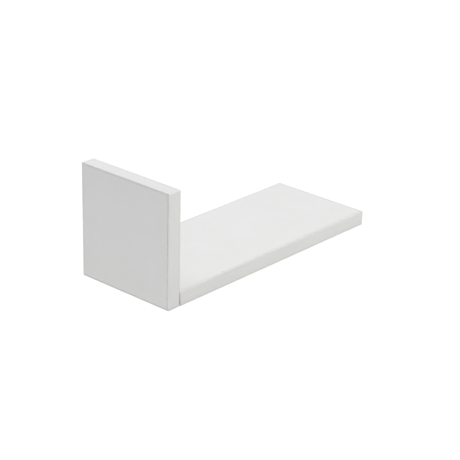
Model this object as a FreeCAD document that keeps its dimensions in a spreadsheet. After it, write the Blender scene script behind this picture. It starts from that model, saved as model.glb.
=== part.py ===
import FreeCAD, Part
import Sketcher
import os
from types import SimpleNamespace

# Floating wall shelf.
# A shelf board and an upright end panel meet in an L. Both are chipboard, faced with white melamine and edged
# with white plastic strip. Dowels and two cam fittings hold the corner together. The shelf slides on to the
# two rods of a steel rail that is screwed to the wall, so no fixing shows.
# Millimetres. The origin is on the wall, midway between the rail's screw holes and halfway through the board.
# +X runs along the shelf to its free end, +Y runs into the wall and +Z is up.

SIZES = (
    # Boards
    ("overall_length", 350, "Outer face of the upright to the free end of the shelf"),
    ("overall_depth", 137, "Front edge to wall"),
    ("upright_height", 140, "Bottom edge to top edge of the upright"),
    ("board_thickness", 18, "Board with both facings"),
    ("facing_thickness", 0.3, "Melamine sheet"),
    ("edging_thickness", 2, "Plastic edge strip"),
    ("glue_line", 0.25, "Bare core showing between facing and edge strip"),
    ("arris_radius", 0.6, "Rounding along the edges of a board"),
    ("corner_radius", 1, "Rounding of a board's corners"),
    ("top_corner_radius", 1.8, "Rounding of the upright's top corners"),
    ("strip_seam", 0.1, "Gap where two edge strips meet at a corner"),
    ("joint_gap", 0.4, "Hairline between the upright and the top of the shelf's joint end"),
    ("joint_undercut", 1.3, "Slope of the joint end, from its top to the underside"),
    # Wall bracket
    ("rod_inset", 70, "End of the shelf board to the axis of a rod"),
    ("rod_diameter", 8, "Rod"),
    ("rod_cover", 34, "Front edge of the shelf to the tip of a rod"),
    ("rod_tip_chamfer", 1, "Chamfer at the tip of a rod"),
    ("rod_end_play", 2, "Bore beyond the tip of a rod"),
    ("rod_clearance", 0.2, "Bore wall to rod"),
    ("spigot_diameter", 6, "Reduced end of a rod, riveted into the rail"),
    ("spigot_clearance", 0.05, "Rail hole to spigot"),
    ("rail_overhang", 12, "Axis of a rod to the end of the rail"),
    ("rail_height", 12, "Rail"),
    ("rail_thickness", 3, "Rail"),
    ("rail_corner_radius", 3, "Rounding of the rail's corners"),
    ("rail_arris_radius", 0.5, "Rounding along the edges of the rail"),
    ("rail_clearance", 0.4, "Groove to rail, all round"),
    ("screw_inset", 32, "Axis of a rod to the axis of the next screw hole"),
    ("screw_hole_diameter", 4.5, "Screw hole in the rail"),
    ("screw_sink_diameter", 9, "Mouth of the countersink"),
    # Corner joint
    ("dowel_inset", 16.5, "Front or back edge to the axis of a dowel"),
    ("dowel_diameter", 8, "Dowel"),
    ("dowel_length", 30, "Dowel"),
    ("dowel_seat", 10, "Part of a dowel that sits in the upright"),
    ("dowel_chamfer", 1, "Chamfer at each end of a dowel"),
    ("dowel_end_play", 1, "Hole beyond each end of a dowel"),
    ("dowel_clearance", 0.05, "Hole wall to dowel"),
    ("flute_radius", 0.4, "Glue flute along a dowel"),
    ("cam_pitch", 20, "Axis of a dowel to the axis of the cam beside it"),
    ("cam_set_back", 24, "Joint face to the axis of a cam"),
    ("cam_bore_diameter", 15, "Bore for a cam"),
    ("cam_clearance", 0.2, "Bore to cam, at its side and end"),
    ("cam_recess", 0.2, "Underside of the shelf to the face of a cam"),
    ("cam_ring", 1, "Cam wall left above the bolt's way in"),
    ("cam_chamfer", 0.4, "Chamfer round both ends of a cam"),
    ("cavity_diameter", 10.8, "Hollow in a cam that takes the bolt's head"),
    ("cavity_offset", 0.3, "Hollow's centre off the axis of its cam, which draws the bolt in"),
    ("cross_length", 6, "Screwdriver recess in a cam, across"),
    ("cross_width", 1.5, "Screwdriver recess in a cam, width of an arm"),
    ("cross_depth", 3, "Screwdriver recess in a cam"),
    ("arrow_length", 1.6, "Arrow sunk in a cam's face, which points to the way in"),
    ("arrow_depth", 0.4, "Arrow sunk in a cam's face"),
    ("thread_diameter", 5, "Thread of a cam bolt"),
    ("thread_depth", 0.6, "Root to crest of the thread"),
    ("thread_length", 11, "Part of a cam bolt that is screwed into the upright"),
    ("thread_end_play", 1, "Hole beyond the tip of the thread"),
    ("thread_clearance", 0.05, "Hole wall to the thread's crest"),
    ("collar_diameter", 7.4, "Collar of a cam bolt, which stops on the upright"),
    ("collar_length", 2, "Collar of a cam bolt"),
    ("collar_step", 0.7, "Collar to the shaft beside it"),
    ("neck_diameter", 4, "Cam bolt where it passes through the wall of a cam"),
    ("head_diameter", 6.6, "Head of a cam bolt"),
    ("head_length", 2.4, "Head of a cam bolt from its rim to its end"),
    ("head_flank", 0.7, "Sloped back of the head"),
    ("bolt_clearance", 0.3, "Cam bolt to the walls round it"),
)

ridge_count = 6
flute_count = 12
full_turn = 360
half_turn = 180
quarter_turn = 90
cut_overrun = 1
flat_tolerance = 1e-6

doc = FreeCAD.newDocument("floating_shelf")


# Sizes and the sums made with them

def as_formula(number):
    return number if isinstance(number, Formula) else Formula(str(number), float(number))


class Formula:
    """A sum of spreadsheet sizes: its text for an expression, and the value that it has now."""

    def __init__(self, text, value):
        self.text = text
        self.value = value

    def __add__(self, other):
        other = as_formula(other)
        return Formula(f"({self.text} + {other.text})", self.value + other.value)

    def __sub__(self, other):
        other = as_formula(other)
        return Formula(f"({self.text} - {other.text})", self.value - other.value)

    def __mul__(self, factor):
        factor = as_formula(factor)
        return Formula(f"({self.text} * {factor.text})", self.value * factor.value)

    def __truediv__(self, divisor):
        divisor = as_formula(divisor)
        return Formula(f"({self.text} / {divisor.text})", self.value / divisor.value)

    def __neg__(self):
        return Formula(f"(-{self.text})", -self.value)


def other_leg(long_side, leg):
    """Third side of a right-angled triangle."""
    text = f"sqrt({long_side.text} * {long_side.text} - {leg.text} * {leg.text})"
    return Formula(text, (long_side.value ** 2 - leg.value ** 2) ** 0.5)


def bind(thing, property_name, formula):
    thing.setExpression(property_name, as_formula(formula).text)


def place(thing, x, y, z):
    for axis, formula in zip("xyz", (x, y, z)):
        bind(thing, f"Placement.Base.{axis}", formula)


sheet = doc.addObject("Spreadsheet::Sheet", "Sizes")
for row, (alias, value, meaning) in enumerate(SIZES, start=1):
    sheet.set(f"A{row}", meaning)
    sheet.set(f"B{row}", str(value))
    sheet.setAlias(f"B{row}", alias)
doc.recompute()
size = SimpleNamespace(**{alias: Formula(f"Sizes.{alias}", float(value)) for alias, value, _ in SIZES})


# Sketches and features

def origin_feature(body, role):
    return next(feature for feature in body.Origin.OriginFeatures if feature.Role == role)


def new_body(name):
    body = doc.addObject("PartDesign::Body", name)
    body.Label = name
    return body


def new_sketch(body, name, role, height=0):
    """Sketch on one of the body's own origin planes, raised along the plane's normal."""
    sketch = body.newObject("Sketcher::SketchObject", f"{body.Name}_{name}")
    sketch.AttachmentSupport = [(origin_feature(body, role), "")]
    sketch.MapMode = "FlatFace"
    bind(sketch, "AttachmentOffset.Base.z", height)
    return sketch


def constrain(sketch, name, formula, kind, *ends):
    formula = as_formula(formula)
    index = sketch.addConstraint(Sketcher.Constraint(kind, *ends, formula.value))
    sketch.renameConstraint(index, name)
    bind(sketch, f"Constraints.{name}", formula)


def fix_point(sketch, name, geometry, vertex, u, v):
    """Hold a point of the sketch at u, v from the sketch's origin."""
    constrain(sketch, f"{name}_u", u, "DistanceX", -1, 1, geometry, vertex)
    constrain(sketch, f"{name}_v", v, "DistanceY", -1, 1, geometry, vertex)


def sketch_point(u, v):
    return FreeCAD.Vector(as_formula(u).value, as_formula(v).value, 0)


def draw_polygon(sketch, points):
    following = points[1:] + points[:1]
    for start, end in zip(points, following):
        sketch.addGeometry(Part.LineSegment(sketch_point(*start), sketch_point(*end)))
    for side in range(len(points)):
        sketch.addConstraint(Sketcher.Constraint("Coincident", side, 2, (side + 1) % len(points), 1))
    for side, (u, v) in enumerate(points):
        fix_point(sketch, f"point{side}", side, 1, u, v)


def draw_box(sketch, left, right, bottom, top):
    draw_polygon(sketch, [(left, bottom), (right, bottom), (right, top), (left, top)])


def draw_circle(sketch, name, u, v, diameter):
    radius = as_formula(diameter).value / 2
    circle = sketch.addGeometry(Part.Circle(sketch_point(u, v), FreeCAD.Vector(0, 0, 1), radius))
    fix_point(sketch, f"{name}_centre", circle, 3, u, v)
    constrain(sketch, f"{name}_diameter", diameter, "Diameter", circle)


def draw_rounded_box(sketch, width, height, radii):
    """Box from the sketch's origin, with radii from the bottom left round. A corner without one is square."""
    corners = [sketch_point(u, v) for u, v in ((0, 0), (width, 0), (width, height), (0, height))]
    ways = [FreeCAD.Vector(u, v, 0) for u, v in ((1, 0), (0, 1), (-1, 0), (0, -1))]
    cut = [radius.value if radius else 0 for radius in radii]
    for side in range(4):
        after = (side + 1) % 4
        start = corners[side] + ways[side] * cut[side]
        end = corners[after] - ways[side] * cut[after]
        sketch.addGeometry(Part.LineSegment(start, end))
    for side, radius in enumerate(radii):
        before = (side - 1) % 4
        if radius:
            centre = corners[side] + (ways[side] - ways[before]) * radius.value
            circle = Part.Circle(centre, FreeCAD.Vector(0, 0, 1), radius.value)
            start = (corners[side] - ways[before] * radius.value) - centre
            end = (corners[side] + ways[side] * radius.value) - centre
            first = FreeCAD.Vector(1, 0, 0).getAngle(start) * (1 if start.y >= 0 else -1)
            last = FreeCAD.Vector(1, 0, 0).getAngle(end) * (1 if end.y >= 0 else -1)
            arc = sketch.addGeometry(Part.ArcOfCircle(circle, first, last))
            sketch.addConstraint(Sketcher.Constraint("Tangent", before, 2, arc, 1))
            sketch.addConstraint(Sketcher.Constraint("Tangent", arc, 2, side, 1))
            constrain(sketch, f"corner{side}_radius", radius, "Radius", arc)
        else:
            sketch.addConstraint(Sketcher.Constraint("Coincident", before, 2, side, 1))
    for side, kind in enumerate(("Horizontal", "Vertical", "Horizontal", "Vertical")):
        sketch.addConstraint(Sketcher.Constraint(kind, side))
    constrain(sketch, "bottom", 0, "DistanceY", -1, 1, 0, 1)
    constrain(sketch, "right", width, "DistanceX", -1, 1, 1, 1)
    constrain(sketch, "top", height, "DistanceY", -1, 1, 2, 1)
    constrain(sketch, "left", 0, "DistanceX", -1, 1, 3, 1)


def add_feature(kind, sketch, name):
    body = sketch.getParentGeoFeatureGroup()
    feature = body.newObject(f"PartDesign::{kind}", f"{body.Name}_{name}")
    feature.Profile = sketch
    return feature


def pad(sketch, name, length):
    feature = add_feature("Pad", sketch, name)
    bind(feature, "Length", length)
    return feature


def pocket(sketch, name, length=None, backwards=False):
    """Cut against the sketch's normal, or along it when backwards. No length goes right through both ways."""
    feature = add_feature("Pocket", sketch, name)
    feature.Reversed = backwards
    if length is None:
        feature.Type = "ThroughAll"
        feature.Midplane = True
    else:
        bind(feature, "Length", length)
    return feature


def revolve(sketch, name, axis, kind="Revolution", angle=full_turn):
    feature = add_feature(kind, sketch, name)
    feature.ReferenceAxis = (sketch, [axis])
    feature.Midplane = True
    feature.Angle = angle
    return feature


def repeat_round(feature, name, role, count, angle=full_turn):
    body = feature.getParentGeoFeatureGroup()
    pattern = body.newObject("PartDesign::PolarPattern", f"{body.Name}_{name}")
    pattern.Originals = [feature]
    pattern.Axis = (origin_feature(body, role), [""])
    pattern.Angle = angle
    pattern.Occurrences = count
    body.Tip = pattern
    return pattern


def ease_edges(kind, base, name, axis, amount, keeps_square=lambda box: False):
    """Fillet or chamfer the edges that lie square to an axis, but for those that the test keeps square."""
    doc.recompute()
    body = base.getParentGeoFeatureGroup()
    names = []
    for index, edge in enumerate(base.Shape.Edges, start=1):
        box = edge.BoundBox
        extent = {"x": box.XLength, "y": box.YLength, "z": box.ZLength}[axis]
        if extent < flat_tolerance and not keeps_square(box):
            names.append(f"Edge{index}")
    easing = body.newObject(f"PartDesign::{kind}", f"{body.Name}_{name}")
    easing.Base = (base, names)
    bind(easing, {"Fillet": "Radius", "Chamfer": "Size"}[kind], amount)
    return easing


# Planes of the boards

shelf_length = size.overall_length - size.board_thickness
free_x = shelf_length / 2
joint_x = -free_x
outer_x = joint_x - size.board_thickness
front_y = -size.overall_depth
wall_y = as_formula(0)
deck_z = size.board_thickness / 2
underside_z = -deck_z
top_z = underside_z + size.upright_height
facing = size.facing_thickness
edging = size.edging_thickness
facing_set_back = edging + size.glue_line


def inset(span, amount):
    low, high = span
    return low + amount, high - amount


upright_x = (outer_x, joint_x)
upright_z = (underside_z, top_z)
shelf_x = (joint_x, free_x)
shelf_z = (underside_z, deck_z)
depth_y = (front_y, wall_y)
front_strip_y = (front_y, front_y + edging)
back_strip_y = (wall_y - edging, wall_y)
core_y = inset(depth_y, edging)
butted_strip_y = inset(core_y, size.strip_seam)
facing_y = inset(depth_y, facing_set_back)
facing_z = inset(upright_z, facing_set_back)

# Axes of the fittings

rod_x = free_x - size.rod_inset
screw_x = rod_x - size.screw_inset
cam_x = joint_x + size.cam_set_back
front_dowel_y = front_y + size.dowel_inset
rear_dowel_y = wall_y - size.dowel_inset
fitting_rows = (("front", front_dowel_y, front_dowel_y + size.cam_pitch),
                ("rear", rear_dowel_y, rear_dowel_y - size.cam_pitch))
rod_end = size.overall_depth - size.rod_cover
entry_radius = size.head_diameter / 2 + size.bolt_clearance
slot_radius = size.neck_diameter / 2 + size.bolt_clearance
cam_radius = size.cam_bore_diameter / 2 - size.cam_clearance
cam_face_z = underside_z + size.cam_recess
cam_top_z = entry_radius + size.cam_ring
bolt_bore_diameter = size.collar_diameter + size.bolt_clearance * 2


# Board blanks, to their finished outline

upright_blank = new_body("upright_blank")
outline = new_sketch(upright_blank, "outline", "YZ_Plane")
draw_rounded_box(outline, size.overall_depth, size.upright_height,
                 (size.corner_radius, size.corner_radius, size.top_corner_radius, size.top_corner_radius))
plate = pad(outline, "plate", size.board_thickness)
ease_edges("Fillet", plate, "arrises", "x", size.arris_radius)
place(upright_blank, outer_x, front_y, underside_z)

shelf_blank = new_body("shelf_blank")
outline = new_sketch(shelf_blank, "outline", "XY_Plane")
draw_rounded_box(outline, shelf_length, size.overall_depth,
                 (None, size.corner_radius, size.corner_radius, None))
plate = pad(outline, "plate", size.board_thickness)
ease_edges("Fillet", plate, "arrises", "z", size.arris_radius, lambda box: box.XMax < flat_tolerance)
# The joint end stands a hairline off the upright at the top and slopes away below.
slope = new_sketch(shelf_blank, "slope", "XZ_Plane")
beyond_share = 0.1
low_z = -size.board_thickness * beyond_share
high_z = size.board_thickness * (1 + beyond_share)
draw_polygon(slope, [(-cut_overrun, low_z),
                     (size.joint_gap + size.joint_undercut * (1 + beyond_share), low_z),
                     (size.joint_gap - size.joint_undercut * beyond_share, high_z),
                     (-cut_overrun, high_z)])
pocket(slope, "undercut")
place(shelf_blank, joint_x, front_y, underside_z)


# Bores and the groove for the fittings

def bore(name, diameter, length, axis, angle, x, y, z):
    """Round tool that runs from a point. Its own axis is up until it is turned."""
    tool = doc.addObject("Part::Cylinder", name)
    bind(tool, "Radius", diameter / 2)
    bind(tool, "Height", length)
    tool.Placement.Rotation = FreeCAD.Rotation(axis, angle)
    place(tool, x, y, z)
    return tool


def joined(name, tools):
    fuse = doc.addObject("Part::MultiFuse", name)
    fuse.Shapes = tools
    return fuse


along_x = FreeCAD.Vector(1, 0, 0)
along_y = FreeCAD.Vector(0, 1, 0)
along_z = FreeCAD.Vector(0, 0, 1)
dowel_hole_diameter = size.dowel_diameter + size.dowel_clearance * 2
thread_hole_diameter = size.thread_diameter + size.thread_clearance * 2
rod_bore_diameter = size.rod_diameter + size.rod_clearance * 2
upright_tools = []
shelf_end_tools = []
cam_tools = []
for end, dowel_y, cam_y in fitting_rows:
    upright_tools.append(bore(f"{end}_dowel_hole", dowel_hole_diameter,
                              size.dowel_seat + size.dowel_end_play + cut_overrun,
                              along_y, -quarter_turn, joint_x + cut_overrun, dowel_y, 0))
    upright_tools.append(bore(f"{end}_thread_hole", thread_hole_diameter,
                              size.thread_length + size.thread_end_play + cut_overrun,
                              along_y, -quarter_turn, joint_x + cut_overrun, cam_y, 0))
    shelf_end_tools.append(bore(f"{end}_dowel_bore", dowel_hole_diameter,
                                size.dowel_length - size.dowel_seat + size.dowel_end_play + cut_overrun,
                                along_y, quarter_turn, joint_x - cut_overrun, dowel_y, 0))
    shelf_end_tools.append(bore(f"{end}_bolt_bore", bolt_bore_diameter, size.cam_set_back + cut_overrun,
                                along_y, quarter_turn, joint_x - cut_overrun, cam_y, 0))
    cam_tools.append(bore(f"{end}_cam_bore", size.cam_bore_diameter,
                          cam_top_z + size.cam_clearance - underside_z + cut_overrun,
                          along_z, 0, cam_x, cam_y, underside_z - cut_overrun))
upright_bores = joined("upright_bores", upright_tools)
cam_bores = joined("cam_bores", cam_tools)

rail_length = rod_x * 2 + size.rail_overhang * 2
groove_length = rail_length + size.rail_clearance * 2
groove_height = size.rail_height + size.rail_clearance * 2
rail_groove = new_body("rail_groove")
outline = new_sketch(rail_groove, "outline", "XZ_Plane")
draw_rounded_box(outline, groove_length, groove_height, (size.rail_corner_radius + size.rail_clearance,) * 4)
pad(outline, "depth", size.rail_thickness + size.rail_clearance + cut_overrun)
place(rail_groove, -groove_length / 2, wall_y + cut_overrun, -groove_height / 2)
rod_tools = [bore(f"{side}_rod_bore", rod_bore_diameter, rod_end + size.rod_end_play, along_x, quarter_turn,
                  x, wall_y, 0)
             for side, x in (("left", -rod_x), ("right", rod_x))]
bracket_room = joined("bracket_room", [rail_groove] + rod_tools)
shelf_bores = joined("shelf_bores", [bracket_room, cam_bores] + shelf_end_tools)


# Layers and edge strips of the boards

board_pieces = (
    ("upright_core", upright_blank, inset(upright_x, facing), core_y, inset(upright_z, edging),
     upright_bores),
    ("upright_outer_facing", upright_blank, (outer_x, outer_x + facing), facing_y, facing_z, None),
    ("upright_inner_facing", upright_blank, (joint_x - facing, joint_x), facing_y, facing_z, upright_bores),
    ("upright_front_edging", upright_blank, upright_x, front_strip_y, upright_z, None),
    ("upright_back_edging", upright_blank, upright_x, back_strip_y, upright_z, None),
    ("upright_top_edging", upright_blank, upright_x, butted_strip_y, (top_z - edging, top_z), None),
    ("upright_bottom_edging", upright_blank, upright_x, butted_strip_y,
     (underside_z, underside_z + edging), None),
    ("shelf_core", shelf_blank, (joint_x, free_x - edging), core_y, inset(shelf_z, facing), shelf_bores),
    ("shelf_top_facing", shelf_blank, (joint_x, free_x - facing_set_back), facing_y,
     (deck_z - facing, deck_z), None),
    ("shelf_bottom_facing", shelf_blank, (joint_x, free_x - facing_set_back), facing_y,
     (underside_z, underside_z + facing), cam_bores),
    ("shelf_front_edging", shelf_blank, shelf_x, front_strip_y, shelf_z, None),
    ("shelf_back_edging", shelf_blank, shelf_x, back_strip_y, shelf_z, bracket_room),
    ("shelf_end_edging", shelf_blank, (free_x - edging, free_x), butted_strip_y, shelf_z, None),
)
nodes = []
for name, blank, x_span, y_span, z_span, tool in board_pieces:
    region = doc.addObject("Part::Box", f"{name}_region")
    for side, (low, high) in zip(("Length", "Width", "Height"), (x_span, y_span, z_span)):
        bind(region, side, high - low)
    place(region, x_span[0], y_span[0], z_span[0])
    piece = doc.addObject("Part::Common", f"{name}_plain" if tool else name)
    piece.Base = blank
    piece.Tool = region
    if tool:
        plain = piece
        piece = doc.addObject("Part::Cut", name)
        piece.Base = plain
        piece.Tool = tool
    piece.Label = name
    nodes.append(piece)


# Wall rail, a steel flat with countersunk screw holes and a hole for each rod

rail = new_body("wall_rail")
outline = new_sketch(rail, "outline", "XZ_Plane")
draw_rounded_box(outline, rail_length, size.rail_height, (size.rail_corner_radius,) * 4)
flat = pad(outline, "flat", size.rail_thickness)
ease_edges("Fillet", flat, "arrises", "y", size.rail_arris_radius)
middle_u = rail_length / 2
middle_v = size.rail_height / 2
rod_holes = new_sketch(rail, "rod_holes", "XZ_Plane")
screw_holes = new_sketch(rail, "screw_holes", "XZ_Plane", size.rail_thickness)
for side, turn in (("left", -1), ("right", 1)):
    draw_circle(rod_holes, side, middle_u + rod_x * turn, middle_v,
                size.spigot_diameter + size.spigot_clearance * 2)
    draw_circle(screw_holes, side, middle_u + screw_x * turn, middle_v, size.screw_hole_diameter)
pocket(rod_holes, "rivet_holes")
doc.recompute()
sinks = add_feature("Hole", screw_holes, "countersunk_holes")
doc.recompute()
sinks.ThreadType = "None"
sinks.DepthType = "ThroughAll"
sinks.HoleCutType = "Countersink"
sinks.HoleCutCustomValues = True
sinks.HoleCutCountersinkAngle = quarter_turn
bind(sinks, "Diameter", size.screw_hole_diameter)
bind(sinks, "HoleCutDiameter", size.screw_sink_diameter)
place(rail, -middle_u, wall_y, -middle_v)
nodes.append(rail)


# Rods, turned down at the wall end and riveted into the rail

for side, x in (("left", -rod_x), ("right", rod_x)):
    rod = new_body(f"{side}_rod")
    profile = new_sketch(rod, "profile", "XY_Plane")
    rod_radius = size.rod_diameter / 2
    draw_polygon(profile, [(0, 0),
                           (size.spigot_diameter / 2, 0),
                           (size.spigot_diameter / 2, size.rail_thickness),
                           (rod_radius, size.rail_thickness),
                           (rod_radius, rod_end - size.rod_tip_chamfer),
                           (rod_radius - size.rod_tip_chamfer, rod_end),
                           (0, rod_end)])
    revolve(profile, "turned", "V_Axis")
    rod.Placement.Rotation = FreeCAD.Rotation(along_z, half_turn)
    place(rod, x, wall_y, 0)
    nodes.append(rod)


# Dowels, cam bolts and cams of the corner joint

def make_dowel(name, y):
    dowel = new_body(name)
    radius = size.dowel_diameter / 2
    near = -size.dowel_seat
    far = size.dowel_length - size.dowel_seat
    profile = new_sketch(dowel, "profile", "XY_Plane")
    draw_polygon(profile, [(near, 0),
                           (near, radius - size.dowel_chamfer),
                           (near + size.dowel_chamfer, radius),
                           (far - size.dowel_chamfer, radius),
                           (far, radius - size.dowel_chamfer),
                           (far, 0)])
    revolve(profile, "turned", "H_Axis")
    groove = new_sketch(dowel, "groove", "YZ_Plane")
    draw_circle(groove, "flute", 0, radius, size.flute_radius * 2)
    repeat_round(pocket(groove, "flute"), "flutes", "X_Axis", flute_count)
    place(dowel, joint_x, y, 0)
    return dowel


def make_cam_bolt(name, y):
    """Turned along X from the tip of its thread. The sloped back of the head bears inside the cam."""
    bolt = new_body(name)
    crest = size.thread_diameter / 2
    root = crest - size.thread_depth
    pitch = size.thread_length / ridge_count
    head_radius = size.head_diameter / 2
    bore_radius = size.cam_bore_diameter / 2
    collar_radius = size.collar_diameter / 2
    shaft_radius = collar_radius - size.collar_step
    shaft_end = size.cam_set_back - bore_radius - size.bolt_clearance
    rim_x = (size.cam_set_back + size.cavity_offset - other_leg(size.cavity_diameter / 2, head_radius)
             + size.bolt_clearance)
    neck_end = rim_x - size.head_flank
    head_end = rim_x + size.head_length
    points = [(-size.thread_length, 0)]
    for ridge in range(ridge_count):
        points.append((pitch * ridge - size.thread_length, root))
        points.append((pitch * (ridge + 0.5) - size.thread_length, crest))
    points += [(0, root),
               (0, collar_radius),
               (size.collar_length, collar_radius),
               (size.collar_length, shaft_radius),
               (shaft_end, shaft_radius),
               (shaft_end, size.neck_diameter / 2),
               (neck_end, size.neck_diameter / 2),
               (rim_x, head_radius),
               (head_end - size.head_flank, head_radius),
               (head_end, head_radius - size.head_flank),
               (head_end, 0)]
    profile = new_sketch(bolt, "profile", "XY_Plane")
    draw_polygon(profile, points)
    revolve(profile, "turned", "H_Axis")
    place(bolt, joint_x, y, 0)
    return bolt


def make_cam(name, y):
    """Drum with a hollow for the bolt's head. A slot half-way round lets the bolt's neck through."""
    cam = new_body(name)
    drum = new_sketch(cam, "drum", "XY_Plane", cam_face_z)
    draw_circle(drum, "rim", 0, 0, cam_radius * 2)
    drum_pad = pad(drum, "drum_pad", cam_top_z - cam_face_z)
    ease_edges("Chamfer", drum_pad, "rims", "z", size.cam_chamfer)
    hollow = new_sketch(cam, "hollow", "XY_Plane", cam_top_z)
    draw_circle(hollow, "wall", size.cavity_offset, 0, size.cavity_diameter)
    pocket(hollow, "hollow_cut", cam_top_z + entry_radius)
    slot = new_sketch(cam, "slot", "YZ_Plane")
    draw_box(slot, -cam_radius - cut_overrun, -slot_radius, -slot_radius, slot_radius)
    revolve(slot, "slot_cut", "V_Axis", "Groove", half_turn)
    locked = new_sketch(cam, "locked_end", "YZ_Plane")
    draw_circle(locked, "neck", 0, 0, slot_radius * 2)
    pocket(locked, "locked_end_cut", cam_radius + cut_overrun)
    entry = new_sketch(cam, "entry", "YZ_Plane")
    draw_circle(entry, "head", 0, 0, entry_radius * 2)
    pocket(entry, "entry_cut", cam_radius + cut_overrun, backwards=True)
    arrow = new_sketch(cam, "arrow", "XY_Plane", cam_face_z)
    arrow_root = (size.cross_length / 2 + cam_radius - size.arrow_length) / 2
    draw_polygon(arrow, [(arrow_root, -size.arrow_length / 2),
                         (arrow_root + size.arrow_length, 0),
                         (arrow_root, size.arrow_length / 2)])
    pocket(arrow, "arrow_cut", size.arrow_depth, backwards=True)
    cross = new_sketch(cam, "cross", "XY_Plane", cam_face_z)
    draw_box(cross, -size.cross_length / 2, size.cross_length / 2,
             -size.cross_width / 2, size.cross_width / 2)
    arm = pocket(cross, "cross_arm", size.cross_depth, backwards=True)
    repeat_round(arm, "cross_recess", "Z_Axis", 2, quarter_turn)
    place(cam, cam_x, y, 0)
    return cam


for end, dowel_y, cam_y in fitting_rows:
    nodes.append(make_dowel(f"{end}_dowel", dowel_y))
    nodes.append(make_cam_bolt(f"{end}_cam_bolt", cam_y))
    nodes.append(make_cam(f"{end}_cam", cam_y))


# Checks and files

doc.recompute()
for thing in doc.Objects:
    if "Invalid" in thing.State or "Error" in thing.State:
        raise RuntimeError(f"{thing.Label} did not build: {thing.State}")
    if thing.TypeId in ("PartDesign::Pocket", "PartDesign::Groove", "PartDesign::Hole"):
        if thing.Shape.Volume >= thing.BaseFeature.Shape.Volume:
            raise RuntimeError(f"{thing.Label} takes nothing away")
os.makedirs("parts", exist_ok=True)
for node in nodes:
    if node.Shape.isNull() or not node.Shape.isValid() or len(node.Shape.Solids) != 1:
        raise RuntimeError(f"{node.Label} is not one sound solid")
    node.Shape.exportStep(f"parts/{node.Label}.step")
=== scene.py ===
import math
import bmesh
import bpy
from mathutils import Matrix, Vector


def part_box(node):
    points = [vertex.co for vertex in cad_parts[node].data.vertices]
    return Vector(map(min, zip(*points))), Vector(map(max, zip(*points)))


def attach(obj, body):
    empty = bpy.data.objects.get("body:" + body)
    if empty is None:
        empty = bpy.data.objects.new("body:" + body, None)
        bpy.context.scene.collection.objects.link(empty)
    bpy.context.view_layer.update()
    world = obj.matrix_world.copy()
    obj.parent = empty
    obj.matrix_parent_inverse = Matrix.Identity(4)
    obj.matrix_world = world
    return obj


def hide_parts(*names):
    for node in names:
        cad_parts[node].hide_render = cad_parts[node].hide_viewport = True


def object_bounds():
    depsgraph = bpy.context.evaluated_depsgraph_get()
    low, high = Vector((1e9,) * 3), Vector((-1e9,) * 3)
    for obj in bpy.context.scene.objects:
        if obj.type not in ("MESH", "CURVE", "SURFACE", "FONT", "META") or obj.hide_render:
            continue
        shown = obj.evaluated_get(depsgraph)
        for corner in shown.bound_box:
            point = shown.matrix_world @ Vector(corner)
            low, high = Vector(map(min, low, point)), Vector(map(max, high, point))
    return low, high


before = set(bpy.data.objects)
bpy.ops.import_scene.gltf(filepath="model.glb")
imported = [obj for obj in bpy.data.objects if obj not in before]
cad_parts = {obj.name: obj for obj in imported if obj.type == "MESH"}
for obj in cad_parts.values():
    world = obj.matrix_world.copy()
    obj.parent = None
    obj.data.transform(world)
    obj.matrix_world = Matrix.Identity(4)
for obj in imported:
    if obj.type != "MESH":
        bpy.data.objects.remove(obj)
cad_box = [list(corner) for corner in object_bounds()]


# Chipboard cores
# Each board is pressed from wood chips and resin: coarse flakes in the middle, fine dust near the faces.
# The cores show in the groove, in the bores, at the joint end and as a thin glue line beside the edge strips.

x_axis, y_axis, z_axis = range(3)


def wire(tree, value, socket):
    """Feed a socket from another socket, or set it to a plain value."""
    if isinstance(value, bpy.types.NodeSocket):
        tree.links.new(value, socket)
    else:
        socket.default_value = value


def add(tree, kind, inputs, **settings):
    """New shader node, with its settings made first and then its inputs fed."""
    node = tree.nodes.new(f"ShaderNode{kind}")
    for name, value in settings.items():
        setattr(node, name, value)
    for key, value in inputs.items():
        wire(tree, value, node.inputs[key])
    return node


def calc(tree, operation, first, second=0.0):
    return add(tree, "Math", {0: first, 1: second}, operation=operation).outputs[0]


def plus(tree, value, share, other):
    """Value with a share of another one added."""
    return calc(tree, "ADD", value, calc(tree, "MULTIPLY", other, share))


def spread(tree, value, low, high, to_low=0.0, to_high=1.0):
    """Value carried smoothly from one range to another, and held at its ends."""
    inputs = {"Value": value, "From Min": low, "From Max": high, "To Min": to_low, "To Max": to_high}
    return add(tree, "MapRange", inputs, interpolation_type="SMOOTHSTEP").outputs["Result"]


def split(tree, vector):
    return add(tree, "SeparateXYZ", {"Vector": vector}).outputs


def minus(tree, vector, other):
    return add(tree, "VectorMath", {0: vector, 1: other}, operation="SUBTRACT").outputs["Vector"]


def stretched(tree, place, scale):
    return add(tree, "Mapping", {"Vector": place, "Scale": scale}).outputs["Vector"]


def off_middle_of(tree, place, box, axis):
    """Distance from the middle of a box along one axis, and half the box's size there."""
    low, high = (corner[axis] for corner in box)
    off_middle = calc(tree, "ABSOLUTE", calc(tree, "SUBTRACT", split(tree, place)[axis], (low + high) / 2))
    return off_middle, (high - low) / 2


def mix(tree, factor, first, second, blend="MIX"):
    """Second colour over the first. The node's colours go in at 6 and 7 and come out at 2."""
    return add(tree, "Mix", {0: factor, 6: first, 7: second}, data_type="RGBA", blend_type=blend).outputs[2]


def ramp(tree, factor, *stops):
    """Colours at even steps."""
    node = add(tree, "ValToRGB", {"Fac": factor})
    elements = node.color_ramp.elements
    for _ in stops[2:]:
        elements.new(0.5)
    for step, (element, colour) in enumerate(zip(elements, stops)):
        element.position = step / (len(stops) - 1)
        element.color = (*colour, 1)
    return node.outputs["Color"]


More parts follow.
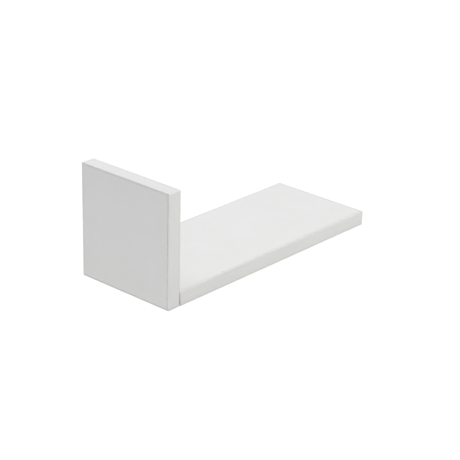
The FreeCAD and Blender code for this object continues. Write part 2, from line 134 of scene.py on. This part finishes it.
def bump(tree, height, depth, normal=None):
    inputs = {"Height": height, "Distance": depth}
    if normal:
        inputs["Normal"] = normal
    return add(tree, "Bump", inputs).outputs["Normal"]


def new_group(name, inputs, outputs):
    """Shader group with named sockets: its tree, the sockets it takes from and those it gives to."""
    group = bpy.data.node_groups.new(name, "ShaderNodeTree")
    for label, kind in inputs.items():
        group.interface.new_socket(label, in_out="INPUT", socket_type=f"NodeSocket{kind}")
    for label, kind in outputs.items():
        group.interface.new_socket(label, in_out="OUTPUT", socket_type=f"NodeSocket{kind}")
    return group, group.nodes.new("NodeGroupInput").outputs, group.nodes.new("NodeGroupOutput").inputs


def use(tree, group, inputs):
    return add(tree, "Group", inputs, node_tree=group).outputs


def new_material(name, **constants):
    """Material of one Principled shader: itself, its tree, the shader's sockets and object coordinates."""
    material = bpy.data.materials.new(name)
    material.use_nodes = True
    tree = material.node_tree
    tree.nodes.clear()
    shader = add(tree, "BsdfPrincipled", {key.replace("_", " "): value for key, value in constants.items()})
    add(tree, "OutputMaterial", {"Surface": shader.outputs["BSDF"]})
    return material, tree, shader.inputs, add(tree, "TexCoord", {}).outputs["Object"]


def coat(material, *names):
    for name in names:
        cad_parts[name].material_slots[0].material = material


dark_flake = (0.17, 0.095, 0.045)
mid_flake = (0.40, 0.26, 0.14)
pale_flake = (0.64, 0.48, 0.29)
dark_dust = (0.27, 0.17, 0.09)
pale_dust = (0.52, 0.37, 0.23)
amber_glue = (0.80, 0.66, 0.46, 1)
white_glue = (0.86, 0.86, 0.85, 1)
glue_soak = 0.0006
glue_cover = 0.9
flakes_per_metre = 330.0
dust_per_metre = 1300.0
flake_draw = 0.55
flake_squeeze = 1.5
flaky_share = 0.45
dusty_share = 0.8
seam_share = 0.1
seam_shade = 0.4
dust_height = 0.5
chip_relief = 0.0003

flakes, take, give = new_group("wood_flakes", {"Place": "Vector", "Fineness": "Float"},
                               {"Colour": "Color", "Height": "Float"})
flake_cells = {"Vector": take["Place"], "Scale": flakes_per_metre}
coarse = add(flakes, "TexVoronoi", flake_cells)
seam = add(flakes, "TexVoronoi", flake_cells, feature="DISTANCE_TO_EDGE")
fine = add(flakes, "TexVoronoi", {"Vector": take["Place"], "Scale": dust_per_metre})
shade = spread(flakes, seam.outputs["Distance"], 0.0, seam_share, seam_shade, 1.0)
flake_tone = ramp(flakes, add(flakes, "SeparateColor", {"Color": coarse.outputs["Color"]}).outputs["Red"],
                  dark_flake, mid_flake, pale_flake)
dust_tone = ramp(flakes, add(flakes, "SeparateColor", {"Color": fine.outputs["Color"]}).outputs["Green"],
                 dark_dust, pale_dust)
shaded_flake = mix(flakes, 1.0, flake_tone, shade, "MULTIPLY")
wire(flakes, mix(flakes, take["Fineness"], shaded_flake, dust_tone), give["Colour"])
wire(flakes, plus(flakes, shade, dust_height, fine.outputs["Distance"]), give["Height"])


def chipboard(name, thin_axis, front_glue, far_glue):
    """The flakes lie flat in the board, so they are drawn thin along its thin axis."""
    material, tree, shader, place = new_material(f"{name}_chipboard", Roughness=0.85, Specular_IOR_Level=0.2)
    low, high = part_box(name)
    off_middle, half = off_middle_of(tree, place, (low, high), thin_axis)
    squeeze = [flake_draw] * 3
    squeeze[thin_axis] = flake_squeeze
    fineness = spread(tree, off_middle, half * flaky_share, half * dusty_share)
    chips = use(tree, flakes, {"Place": stretched(tree, place, squeeze), "Fineness": fineness})
    side_axis = z_axis if thin_axis == x_axis else x_axis
    past_low = split(tree, minus(tree, place, low))
    past_high = split(tree, minus(tree, high, place))
    colour = chips["Colour"]
    for rim, glue in ((past_low[side_axis], white_glue), (past_high[y_axis], white_glue),
                      (past_high[side_axis], far_glue), (past_low[y_axis], front_glue)):
        colour = mix(tree, spread(tree, rim, glue_soak / 2, glue_soak, glue_cover, 0.0), colour, glue)
    wire(tree, colour, shader["Base Color"])
    wire(tree, bump(tree, chips["Height"], chip_relief), shader["Normal"])
    coat(material, name)


chipboard("upright_core", x_axis, amber_glue, amber_glue)
chipboard("shelf_core", z_axis, white_glue, white_glue)


# Melamine facings
# Paper soaked in white resin, pressed on to both sides of each board and sawn with it. The press plate leaves
# a fine pearl grain. The saw chips and clouds the front rim. Dust and painted shade, as cast by the upright,
# darken the facings near the corner over the shelf.

melamine_light = (0.812, 0.812, 0.811, 1)
melamine_dark = (0.796, 0.796, 0.794, 1)
chipped_tone = (0.50, 0.42, 0.32, 1)
# Dust and painted shade near the corner over the shelf.
corner_dust_and_shade = (0.66, 0.65, 0.63, 1)
chip_reach = 0.00012
chip_blur = 0.0001
chips_per_metre = 700.0
haze_reach = 0.0018
haze_cover = 0.06
corner_reach = 0.045
corner_cover = 0.22
dust_drift = 0.006
drifts_per_metre = 60.0
pearls_per_metre = 1100.0
pearl_relief = 0.00004
scuff_dip = 0.4
chip_dip = 3.0
glossy_melamine = 0.40
dull_melamine = 0.50
scuff_dulling = 0.12
dust_dulling = 0.35
sheen_patches_per_metre = 14.0
tone_patches_per_metre = 45.0
scuff_patches_per_metre = 22.0
scuff_turns = ((0.3, 0.5, 0.9), (1.2, 2.1, 0.4), (2.3, 0.2, 1.9))
scuff_draw = (9.0, 420.0, 420.0)
scuff_spacing = 2.0


def noise(tree, place, scale, detail=2.0, distortion=0.0):
    inputs = {"Vector": place, "Scale": scale, "Detail": detail, "Distortion": distortion}
    return add(tree, "TexNoise", inputs).outputs["Fac"]


def length_of(tree, vector):
    return add(tree, "VectorMath", {0: vector}, operation="LENGTH").outputs["Value"]


pearl, take, give = new_group("pearl_grain", {"Place": "Vector", "Scale": "Float"},
                              {"Height": "Float", "Sheen": "Float", "Tone": "Float"})
sheen_patches = noise(pearl, take["Place"], sheen_patches_per_metre, detail=4.0, distortion=0.8)
tone_patches = noise(pearl, take["Place"], tone_patches_per_metre, detail=3.0)
wire(pearl, noise(pearl, take["Place"], take["Scale"]), give["Height"])
wire(pearl, spread(pearl, sheen_patches, 0.3, 0.7), give["Sheen"])
wire(pearl, spread(pearl, tone_patches, 0.25, 0.75), give["Tone"])

scuffs, take, give = new_group("scuff_lines", {"Place": "Vector"}, {"Scuff": "Float"})
lines = 0.0
for turn in scuff_turns:
    skewed = add(scuffs, "Mapping", {"Vector": take["Place"], "Rotation": turn, "Scale": scuff_draw})
    streak = spread(scuffs, noise(scuffs, skewed.outputs["Vector"], scuff_spacing), 0.70, 0.76)
    lines = calc(scuffs, "MAXIMUM", lines, streak)
patches = spread(scuffs, noise(scuffs, take["Place"], scuff_patches_per_metre), 0.5, 0.7)
wire(scuffs, calc(scuffs, "MULTIPLY", lines, patches), give["Scuff"])


def melamine(name):
    material, tree, shader, place = new_material(f"{name}_melamine", Specular_IOR_Level=0.45)
    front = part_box(name)[0][y_axis]
    from_rim = calc(tree, "SUBTRACT", split(tree, place)[y_axis], front)
    ragged_rim = spread(tree, noise(tree, place, chips_per_metre, detail=4.0), 0.3, 0.7, 0.0, chip_reach)
    chip = spread(tree, calc(tree, "SUBTRACT", ragged_rim, from_rim), 0.0, chip_blur)
    haze = spread(tree, from_rim, 0.0, haze_reach, haze_cover, 0.0)

    # Dust and painted shade: the facings darken towards the joint line over the shelf, where the upright
    # shades them.
    corner = (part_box("shelf_core")[0][x_axis], 0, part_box("shelf_top_facing")[1][z_axis])
    from_corner = length_of(tree, stretched(tree, minus(tree, place, corner), (1, 0, 1)))
    drift = spread(tree, noise(tree, place, drifts_per_metre, detail=4.0), 0.3, 0.7, 0.0, dust_drift)
    dust_and_shade = spread(tree, calc(tree, "ADD", from_corner, drift), 0.0, corner_reach, corner_cover, 0.0)

    grain = use(tree, pearl, {"Place": place, "Scale": pearls_per_metre})
    scuff = use(tree, scuffs, {"Place": place})["Scuff"]
    colour = mix(tree, grain["Tone"], melamine_dark, melamine_light)
    colour = mix(tree, dust_and_shade, colour, corner_dust_and_shade)
    wire(tree, mix(tree, calc(tree, "MAXIMUM", chip, haze), colour, chipped_tone), shader["Base Color"])
    roughness = spread(tree, grain["Sheen"], 0.0, 1.0, glossy_melamine, dull_melamine)
    roughness = plus(tree, roughness, scuff_dulling, scuff)
    roughness = plus(tree, roughness, dust_dulling, calc(tree, "MAXIMUM", dust_and_shade, chip))
    wire(tree, roughness, shader["Roughness"])
    height = plus(tree, grain["Height"], -scuff_dip, scuff)
    height = plus(tree, height, -chip_dip, chip)
    wire(tree, bump(tree, height, pearl_relief), shader["Normal"])
    coat(material, name)


for facing in ("upright_outer_facing", "upright_inner_facing", "shelf_top_facing", "shelf_bottom_facing"):
    melamine(facing)


# Edge strips
# Extruded white plastic, glued to the boards' edges, trimmed flush and rounded with a scraper that leaves
# lines. Arrises are rubbed pale and glue stains the joint ends. Dirt and painted shade lie by the slot, and
# painted shade darkens every strip towards the bottom.

strip_light = (0.790, 0.790, 0.788, 1)
strip_dark = (0.760, 0.760, 0.757, 1)
glossy_strip = 0.33
dull_strip = 0.43
rub_dulling = 0.2
rubbed_tone = (0.82, 0.818, 0.81, 1)
rubbed_cover = 0.5
rub_start = -0.0014
rub_full = -0.0004
rubs_per_metre = 420.0
line_draw = 0.02
lines_per_metre = 2200.0
streaks_per_metre = 600.0
strip_grain_per_metre = 1700.0
strip_grain_height = 0.5
strip_relief = 0.00002
# Painted shade: strips grow darker towards the shelf's bottom, and the strips underneath are darkest.
bottom_shade = (0.62, 0.61, 0.59, 1)
bottom_shade_reach = 0.004
bottom_shade_cover = 0.4
broad_shade_reach = 0.012
broad_shade_cover = 0.15
glue_stain = (0.82, 0.78, 0.70, 1)
stain_reach = 0.0007
stain_edge_share = 0.4
stain_dulling = 0.3
stains_per_metre = 500.0
undercut_lean = 0.072
# Dirt and painted shade along the arris beside the slot, darker towards the shelf's bottom.
joint_dirt_and_shade = (0.30, 0.28, 0.25, 1)
dirt_and_shade_reach = 0.0014
dirt_and_shade_peak_share = 0.3
dirt_and_shade_cover = 0.8


def dot(tree, vector, other):
    return add(tree, "VectorMath", {0: vector, 1: other}, operation="DOT_PRODUCT").outputs["Value"]


arris, take, give = new_group("arris_wear", {"Place": "Vector", "Off Middle": "Float", "Half": "Float"},
                              {"Wear": "Float"})
beyond = calc(arris, "SUBTRACT", take["Off Middle"], take["Half"])
band = spread(arris, beyond, rub_start, rub_full)
speckle = spread(arris, noise(arris, take["Place"], rubs_per_metre, detail=5.0), 0.45, 0.7)
wire(arris, calc(arris, "MULTIPLY", band, speckle), give["Wear"])


def edging(name, along, thin_axis, joint_lean=None, beside_joint=False):
    """Strip drawn along one axis, on a board that is thin along another."""
    material, tree, shader, place = new_material(f"{name}_strip", Specular_IOR_Level=0.5)
    low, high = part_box(name)
    sides = split(tree, place)
    off_middle, half = off_middle_of(tree, place, (low, high), thin_axis)
    wear = use(tree, arris, {"Place": place, "Off Middle": off_middle, "Half": half})["Wear"]
    draw = [1.0] * 3
    draw[along] = line_draw
    drawn = stretched(tree, place, draw)
    lines = noise(tree, drawn, lines_per_metre)
    streaks = noise(tree, drawn, streaks_per_metre, detail=3.0)
    grain = use(tree, pearl, {"Place": place, "Scale": strip_grain_per_metre})
    # Painted shade, darker towards the bottom of the shelf, as if shaded from below.
    above_bottom = calc(tree, "SUBTRACT", sides[z_axis], cad_box[0][z_axis])
    darkening = calc(tree, "ADD", spread(tree, above_bottom, 0.0, bottom_shade_reach, bottom_shade_cover, 0.0),
                 spread(tree, above_bottom, 0.0, broad_shade_reach, broad_shade_cover, 0.0))
    colour = mix(tree, spread(tree, streaks, 0.3, 0.7), strip_dark, strip_light)
    colour = mix(tree, calc(tree, "MULTIPLY", wear, rubbed_cover), colour, rubbed_tone)
    colour = mix(tree, darkening, colour, bottom_shade)
    roughness = spread(tree, grain["Sheen"], 0.0, 1.0, glossy_strip, dull_strip)
    roughness = plus(tree, roughness, rub_dulling, wear)
    if joint_lean:
        top_corner = (low[x_axis], 0, high[z_axis])
        from_end = dot(tree, minus(tree, place, top_corner), (1, 0, joint_lean))
        ragged_edge = spread(tree, noise(tree, place, stains_per_metre), 0.3, 0.7,
                             0.0, stain_reach * stain_edge_share)
        stain = spread(tree, calc(tree, "SUBTRACT", from_end, ragged_edge), 0.0, stain_reach, 1.0, 0.0)
        colour = mix(tree, stain, colour, glue_stain)
        roughness = plus(tree, roughness, stain_dulling, stain)
    if beside_joint:
        # A line of dirt and painted shade along the arris beside the slot, fading out towards the shelf's
        # top.
        shelf_low, shelf_high = (corner[z_axis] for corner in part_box("shelf_core"))
        from_arris = calc(tree, "SUBTRACT", high[x_axis], sides[x_axis])
        dirt_and_shade_peak = dirt_and_shade_reach * dirt_and_shade_peak_share
        line = calc(tree, "MULTIPLY", spread(tree, from_arris, 0.0, dirt_and_shade_peak),
                    spread(tree, from_arris, dirt_and_shade_peak, dirt_and_shade_reach, dirt_and_shade_cover, 0.0))
        dirt_and_shade = calc(tree, "MULTIPLY", line, spread(tree, sides[z_axis], shelf_low, shelf_high, 1.0, 0.0))
        colour = mix(tree, dirt_and_shade, colour, joint_dirt_and_shade)
    wire(tree, colour, shader["Base Color"])
    wire(tree, roughness, shader["Roughness"])
    height = plus(tree, lines, strip_grain_height, grain["Height"])
    wire(tree, bump(tree, calc(tree, "SUBTRACT", height, wear), strip_relief), shader["Normal"])
    coat(material, name)


edging("upright_front_edging", z_axis, x_axis, beside_joint=True)
edging("upright_back_edging", z_axis, x_axis, beside_joint=True)
edging("upright_top_edging", y_axis, x_axis)
edging("upright_bottom_edging", y_axis, x_axis)
edging("shelf_front_edging", x_axis, z_axis, joint_lean=undercut_lean)
edging("shelf_back_edging", x_axis, z_axis, joint_lean=undercut_lean)
edging("shelf_end_edging", y_axis, z_axis)


# Dowels
# Beech, turned and pressed into fluted pins that line the two boards up.
# Glue holds them in the upright and in the shelf's joint end.

dark_fibre = (0.40, 0.24, 0.13)
mid_fibre = (0.61, 0.42, 0.25)
pale_fibre = (0.72, 0.54, 0.35)
fleck_tone = (*dark_fibre, 1)
fleck_cover = 0.6
fibre_draw = (0.06, 1, 1)
fleck_draw = (0.25, 1, 1)
fibres_per_metre = 1500.0
flecks_per_metre = 2600.0
smooth_beech = 0.5
rough_beech = 0.7
fibre_relief = 0.0001

beech, tree, shader, place = new_material("beech")
fibres = noise(tree, stretched(tree, place, fibre_draw), fibres_per_metre, detail=4.0)
flecks = spread(tree, noise(tree, stretched(tree, place, fleck_draw), flecks_per_metre), 0.62, 0.72)
colour = ramp(tree, fibres, dark_fibre, mid_fibre, pale_fibre)
wire(tree, mix(tree, calc(tree, "MULTIPLY", flecks, fleck_cover), colour, fleck_tone), shader["Base Color"])
wire(tree, spread(tree, fibres, 0.2, 0.8, smooth_beech, rough_beech), shader["Roughness"])
wire(tree, bump(tree, calc(tree, "SUBTRACT", fibres, flecks), fibre_relief), shader["Normal"])
coat(beech, "front_dowel", "rear_dowel")


# Cam bolts
# Turned steel with a rolled thread and bright zinc plating. The thread is driven into the upright up to the
# collar, with a driver in the cross in the bolt's end. The head waits in the shelf for its cam.

thread_length = 0.011
thread_radius = 0.0025
thread_depth = 0.0006
thread_turns = 6
thread_pitch = thread_length / thread_turns
rows_per_turn = 14
foot_share = 0.36
crest_share = 0.07
tip_length = 0.0018
tip_drop = 0.0009
collar_length = 0.002
shaft_radius = 0.003
shaft_length = 0.0142
neck_radius = 0.002
head_radius = 0.0033
head_length = 0.0024
head_flank = 0.0007
broken_edge = 0.00015
cross_reach = 0.0019
cross_half = 0.0005
cross_depth = 0.0013
cross_taper = 0.6
bolt_sides = 48
crease = math.radians(35)


def thread_reach(along, turn):
    """Radius of the thread: a ridge that winds along the bolt, rising at the tip and fading at the collar."""
    phase = (along / thread_pitch - turn) % 1
    ridge = (foot_share - abs(phase - 0.5)) / (foot_share - crest_share)
    ridge = min(max(ridge, 0.0), 1.0)
    rise = min(along / tip_length, 1.0)
    fade = min((thread_length - along) / thread_pitch, 1.0)
    return thread_radius - thread_depth - tip_drop * (1 - rise) + thread_depth * ridge * rise * fade


def turned_bolt(name, node):
    """Rings of points from the thread's tip to the head, and a cross sunk in the head's end."""
    low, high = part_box(node)
    bolt_length = high[x_axis] - low[x_axis]
    axis = [(low[side] + high[side]) / 2 for side in range(3)]
    collar_radius = (high[z_axis] - low[z_axis]) / 2
    collar_end = thread_length + collar_length
    shaft_end = collar_end + shaft_length
    head_rim = bolt_length - head_length
    profile = [(thread_length, collar_radius - broken_edge),
               (thread_length + broken_edge, collar_radius),
               (collar_end - broken_edge, collar_radius),
               (collar_end, collar_radius - broken_edge),
               (collar_end, shaft_radius),
               (shaft_end - broken_edge, shaft_radius),
               (shaft_end, shaft_radius - broken_edge),
               (shaft_end, neck_radius),
               (head_rim - head_flank, neck_radius),
               (head_rim - broken_edge, head_radius - broken_edge),
               (head_rim, head_radius),
               (bolt_length - head_flank, head_radius),
               (bolt_length, head_radius - head_flank)]
    row_count = thread_turns * rows_per_turn
    thread_rows = [(thread_length * row / row_count, None) for row in range(row_count + 1)]

    shape = bmesh.new()

    def ring_of(points):
        return [shape.verts.new((low[x_axis] + along, axis[y_axis] + across, axis[z_axis] + over))
                for along, across, over in points]

    def bridge(ring, other):
        for start, (corner, opposite) in enumerate(zip(ring, other)):
            shape.faces.new((ring[start - 1], corner, opposite, other[start - 1]))

    rings = []
    for along, radius in thread_rows + profile:
        points = []
        for side in range(bolt_sides):
            turn = side / bolt_sides
            reach = radius or thread_reach(along, turn)
            points.append((along, reach * math.cos(math.tau * turn), reach * math.sin(math.tau * turn)))
        rings.append(ring_of(points))
    for ring, other in zip(rings, rings[1:]):
        bridge(ring, other)
    shape.faces.new(rings[0])

    cross = []
    for along, scale in ((bolt_length, 1.0), (bolt_length - cross_depth, cross_taper)):
        points = []
        for quarter in range(4):
            spin = Matrix.Rotation(quarter * math.pi / 2, 2)
            for corner in ((cross_reach, -cross_half), (cross_reach, cross_half), (cross_half, cross_half)):
                points.append((along, *(spin @ Vector(corner) * scale)))
        cross.append(ring_of(points))
    bridge(*cross)
    shape.faces.new(cross[1])
    mouth = [shape.edges.get((loop[side - 1], loop[side]))
             for loop in (rings[-1], cross[0]) for side in range(len(loop))]
    bmesh.ops.triangle_fill(shape, use_beauty=True, edges=mouth)
    bmesh.ops.recalc_face_normals(shape, faces=shape.faces)

    mesh = bpy.data.meshes.new(name)
    shape.to_mesh(mesh)
    shape.free()
    mesh.shade_smooth()
    mesh.set_sharp_from_angle(angle=crease)
    bolt = bpy.data.objects.new(name, mesh)
    bpy.context.scene.collection.objects.link(bolt)
    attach(bolt, "shelf")
    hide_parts(node)
    return bolt


bright_zinc = (0.60, 0.62, 0.65)
plain_zinc = (0.66, 0.67, 0.68)
straw_zinc = (0.69, 0.67, 0.61)
worn_zinc = (0.78, 0.78, 0.78, 1)
bolt_lines = (1.0, 0.05, 0.05)
draw_lines_per_metre = 1800.0
blooms_per_metre = 60.0
spangles_per_metre = 700.0
glossy_zinc = 0.20
dull_zinc = 0.36
dull_spangle = 0.08
spangle_height = 0.4
zinc_relief = 0.00001
steel_edge = 0.00025

edge_light, take, give = new_group("eased_edges", {"Radius": "Float"}, {"Normal": "Vector", "Wear": "Float"})
eased = add(edge_light, "Bevel", {"Radius": take["Radius"]}, samples=4).outputs["Normal"]
square = add(edge_light, "NewGeometry", {}).outputs["Normal"]
wire(edge_light, eased, give["Normal"])
wire(edge_light, spread(edge_light, dot(edge_light, eased, square), 0.8, 0.98, 1.0, 0.0), give["Wear"])

plating, take, give = new_group("zinc_plating", {"Place": "Vector", "Lines": "Vector"},
                                {"Colour": "Color", "Roughness": "Float", "Height": "Float"})
drawn = add(plating, "VectorMath", {0: take["Place"], 1: take["Lines"]}, operation="MULTIPLY")
drawing = noise(plating, drawn.outputs["Vector"], draw_lines_per_metre, detail=3.0)
bloom = noise(plating, take["Place"], blooms_per_metre, detail=4.0)
spangle = noise(plating, take["Place"], spangles_per_metre, detail=3.0)
wire(plating, ramp(plating, spread(plating, bloom, 0.3, 0.7), bright_zinc, plain_zinc, straw_zinc),
     give["Colour"])
wire(plating, calc(plating, "ADD", spread(plating, drawing, 0.25, 0.75, glossy_zinc, dull_zinc),
                   spread(plating, spangle, 0.4, 0.7, 0.0, dull_spangle)), give["Roughness"])
wire(plating, plus(plating, drawing, spangle_height, spangle), give["Height"])


def plated(name, lines):
    """Zinc plating over marks drawn out along one axis."""
    material, tree, shader, place = new_material(name, Metallic=1.0)
    zinc = use(tree, plating, {"Place": place, "Lines": lines})
    edge = use(tree, edge_light, {"Radius": steel_edge})
    wire(tree, mix(tree, edge["Wear"], zinc["Colour"], worn_zinc), shader["Base Color"])
    wire(tree, zinc["Roughness"], shader["Roughness"])
    wire(tree, bump(tree, zinc["Height"], zinc_relief, edge["Normal"]), shader["Normal"])
    return material


bolt_zinc = plated("plated_bolts", bolt_lines)
for end in ("front", "rear"):
    turned_bolt(f"{end}_turned_bolt", f"{end}_cam_bolt").data.materials.append(bolt_zinc)


# Cams
# Drums cast in zinc, set in bores in the shelf's underside. Half a turn with a driver draws the bolts in.
# They are darker deep in their recesses, and their edges are rubbed bright.

cast_dark = (0.33, 0.33, 0.34)
cast_pale = (0.52, 0.52, 0.53)
recess_dark_tone = (0.10, 0.098, 0.095, 1)
recess_start = 0.0001
recess_full = 0.0006
recess_cover = 0.8
rubbed_cast = (0.68, 0.68, 0.68, 1)
grains_per_metre = 1600.0
casting_stains_per_metre = 240.0
glossy_cast = 0.36
dull_cast = 0.54
recess_dulling = 0.3
cast_relief = 0.00005
cast_edge = 0.0002

cast, tree, shader, place = new_material("cast_zinc", Metallic=1.0)
skin = noise(tree, place, grains_per_metre, detail=3.0)
stain = noise(tree, place, casting_stains_per_metre, detail=3.0)
edge = use(tree, edge_light, {"Radius": cast_edge})
# Darker deep in the recesses, patchy with the casting stains.
depth = calc(tree, "SUBTRACT", split(tree, place)[z_axis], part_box("front_cam")[0][z_axis])
darkening = calc(tree, "MULTIPLY", spread(tree, depth, recess_start, recess_full, 0.0, recess_cover),
             spread(tree, stain, 0.2, 0.6, 0.6, 1.0))
colour = ramp(tree, spread(tree, stain, 0.3, 0.7), cast_dark, cast_pale)
colour = mix(tree, edge["Wear"], colour, rubbed_cast)
wire(tree, mix(tree, darkening, colour, recess_dark_tone), shader["Base Color"])
roughness = spread(tree, skin, 0.2, 0.8, glossy_cast, dull_cast)
wire(tree, plus(tree, roughness, recess_dulling, darkening), shader["Roughness"])
wire(tree, bump(tree, skin, cast_relief, edge["Normal"]), shader["Normal"])
coat(cast, "front_cam", "rear_cam")


# Wall rail and rods
# Flat steel and round bar, zinc plated. Each rod is turned down at its end and hammered over in the rail,
# which bares the steel there. The rail is screwed to the wall.

rail_lines = (0.03, 1.0, 1.0)
rod_lines = (1.0, 0.03, 1.0)
hammered_steel = (0.40, 0.40, 0.41, 1)
hammered_cover = 0.8
hammered_dulling = 0.15
dents_per_metre = 900.0
dent_depth = 0.0003
rivet_dirt = (0.10, 0.095, 0.09, 1)
rivet_radius = 0.003
rivet_depth = 0.0004
rim_share = 0.8

coat(plated("plated_rail", rail_lines), "wall_rail")

rod_zinc, tree, shader, place = new_material("plated_rods", Metallic=1.0)
zinc = use(tree, plating, {"Place": place, "Lines": rod_lines})
edge = use(tree, edge_light, {"Radius": steel_edge})
low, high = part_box("right_rod")
sides = split(tree, place)
rivet = spread(tree, sides[y_axis], high[y_axis] - rivet_depth, high[y_axis] - rivet_depth / 2)
rod_x = (low[x_axis] + high[x_axis]) / 2
off_axis = calc(tree, "SUBTRACT", calc(tree, "ABSOLUTE", sides[x_axis]), rod_x)
from_axis = add(tree, "CombineXYZ", {"X": off_axis, "Z": sides[z_axis]}).outputs["Vector"]
outside = spread(tree, length_of(tree, from_axis), rivet_radius * rim_share, rivet_radius)
dents = add(tree, "TexVoronoi", {"Vector": place, "Scale": dents_per_metre}).outputs["Distance"]
colour = mix(tree, edge["Wear"], zinc["Colour"], worn_zinc)
colour = mix(tree, calc(tree, "MULTIPLY", rivet, hammered_cover), colour, hammered_steel)
wire(tree, mix(tree, calc(tree, "MULTIPLY", rivet, outside), colour, rivet_dirt), shader["Base Color"])
wire(tree, plus(tree, zinc["Roughness"], hammered_dulling, rivet), shader["Roughness"])
hammered = bump(tree, calc(tree, "MULTIPLY", dents, rivet), dent_depth, edge["Normal"])
wire(tree, bump(tree, zinc["Height"], zinc_relief, hammered), shader["Normal"])
coat(rod_zinc, "left_rod", "right_rod")


# Floor
# A white sheet of paper far below the shelf, so bright that it shows no shadow.
# It throws no light back at the shelf.

floor_half = 30.0
floor_z = -1.6
paper_grey = (0.90, 0.90, 0.90)
paper_pale = (0.94, 0.94, 0.94)
glow_grey = (0.98, 0.98, 0.98)
glow_white = (1.0, 1.0, 1.0)
paper_glow = 0.43
paper_fibres_per_metre = 300.0

floor_mesh = bpy.data.meshes.new("floor")
sheet = bmesh.new()
bmesh.ops.create_grid(sheet, x_segments=1, y_segments=1, size=floor_half,
                      matrix=Matrix.Translation((0, 0, floor_z)))
sheet.to_mesh(floor_mesh)
sheet.free()
floor = bpy.data.objects.new("floor", floor_mesh)
floor.visible_diffuse = False
floor.visible_glossy = False
floor.visible_shadow = False
bpy.context.scene.collection.objects.link(floor)
paper, tree, shader, place = new_material("white_paper", Roughness=0.9, Emission_Strength=paper_glow)
fibre = noise(tree, place, paper_fibres_per_metre, detail=3.0)
wire(tree, ramp(tree, fibre, paper_grey, paper_pale), shader["Base Color"])
wire(tree, ramp(tree, fibre, glow_grey, glow_white), shader["Emission Color"])
floor_mesh.materials.append(paper)


# Light
# A white room over a darker floor, which is plain white to the camera. Two wide softboxes hang over the front
# and the back, a warm and a cool one, and two small ones stand low, left and front right.

sky = 0.652
ground = 0.3
horizon = 0.35
white = (1.0, 1.0, 1.0, 1)

room = bpy.data.worlds.new("room")
room.use_nodes = True
tree = room.node_tree
upward = split(tree, add(tree, "TexCoord", {}).outputs["Generated"])[z_axis]
room_light = spread(tree, upward, -horizon, horizon, ground, sky)
backdrop = add(tree, "LightPath", {}).outputs["Is Camera Ray"]
background = tree.nodes["Background"].inputs
wire(tree, calc(tree, "MAXIMUM", room_light, backdrop), background["Strength"])
wire(tree, white, background["Color"])
bpy.context.scene.world = room
bpy.context.scene.view_settings.view_transform = "Standard"

middle = (Vector(cad_box[0]) + Vector(cad_box[1])) / 2


def softbox(name, place, width, power, colour):
    """Square light that faces the middle of the shelf."""
    light = bpy.data.lights.new(name, "AREA")
    light.shape = "SQUARE"
    light.size = width
    light.energy = power
    light.color = colour
    lamp = bpy.data.objects.new(name, light)
    lamp.location = place
    lamp.rotation_euler = (middle - Vector(place)).to_track_quat("-Z", "Y").to_euler()
    lamp.visible_camera = False
    bpy.context.scene.collection.objects.link(lamp)


softbox("front_softbox", place=(0.0, -1.4, 1.2), width=1.93, power=14.45, colour=(1.0, 0.994, 0.957))
softbox("back_softbox", place=(0.0, 1.2, 1.2), width=1.88, power=10.2, colour=(0.957, 0.967, 1.0))
softbox("left_softbox", place=(-1.1, -0.2, -0.6), width=0.77, power=4.24, colour=(1.0, 1.0, 1.0))
softbox("right_softbox", place=(1.0, -1.0, -0.3), width=0.85, power=2.72, colour=(1.0, 0.99, 0.95))


# Camera
# It stands where the photograph was taken.
# Bearing, height, tilt and lens were fitted to the shelf's corners and edges.

image_pixels = 460
focal_pixels = 1570.44
sensor_width = 36.0
bearing = math.radians(-48.534)
rise = math.radians(23.19)
roll = math.radians(1.416)
aim = Vector((-0.03722, -0.09503, 0.03204))
distance = 1.8449

back = Vector((math.sin(bearing) * math.cos(rise), -math.cos(bearing) * math.cos(rise), math.sin(rise)))
level = Vector((0, 0, 1)).cross(back).normalized()
plumb = back.cross(level)
right = level * math.cos(roll) + plumb * math.sin(roll)
up = plumb * math.cos(roll) - level * math.sin(roll)
lens = bpy.data.cameras.new("camera")
lens.sensor_width = sensor_width
lens.lens = sensor_width * focal_pixels / image_pixels
camera = bpy.data.objects.new("camera", lens)
facing_aim = Matrix((right, up, back)).transposed().to_4x4()
camera.matrix_world = Matrix.Translation(aim + back * distance) @ facing_aim
bpy.context.scene.collection.objects.link(camera)
bpy.context.scene.camera = camera
